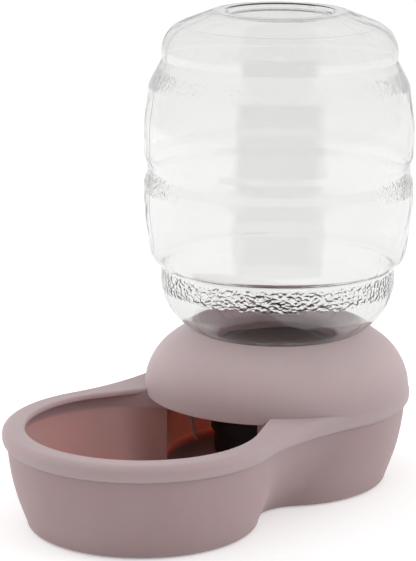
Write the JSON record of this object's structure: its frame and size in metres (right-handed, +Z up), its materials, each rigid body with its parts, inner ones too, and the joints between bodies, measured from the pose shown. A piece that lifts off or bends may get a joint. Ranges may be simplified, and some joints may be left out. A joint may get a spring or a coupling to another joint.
{
  "type": "gravity pet water dispenser",
  "caption": "Gravity waterer for pets: a drinking bowl joined to a round collar that holds an upturned clear barrel bottle, with a valve in the bottle's cap",
  "frame": {"origin": "On the ground, in the middle of the part's plan: midway between the axis of the bowl and the axis of the bottle.", "axes": "+Z up; +Y towards the bottle, so the bowl faces -Y; +X to the right as seen from the bowl's end. X = 0 is the plane of symmetry."},
  "size_m": [0.179, 0.312, 0.3166],
  "materials": {
    "shell": "matte mauve polypropylene",
    "clear": "clear glossy PET",
    "cap": "black satin plastic",
    "gasket": "soft pale silicone",
    "valve": "white plastic",
    "spring": "stainless wire",
    "foot": "grey rubber"
  },
  "bodies": {
    "housing": {"basin": "shell", "top_shell": "shell", "bottle": "clear", "bottle_cap": "cap", "valve_plate": "cap", "cap_gasket": "gasket", "valve_cage": "valve", "foot_front_left": "foot", "foot_front_right": "foot", "foot_rear_left": "foot", "foot_rear_right": "foot"},
    "valve": {"valve_poppet": "valve", "valve_seal": "gasket", "valve_spring": "spring"}
  },
  "joints": [
    {"name": "valve_lift", "type": "slide", "parent": "housing", "child": "valve", "axis": [0, 0, 1], "range_m": [0, 0.003], "stiffness_N_per_m": 150, "springref_m": -0.008, "deforming": ["valve_spring"]}
  ]
}
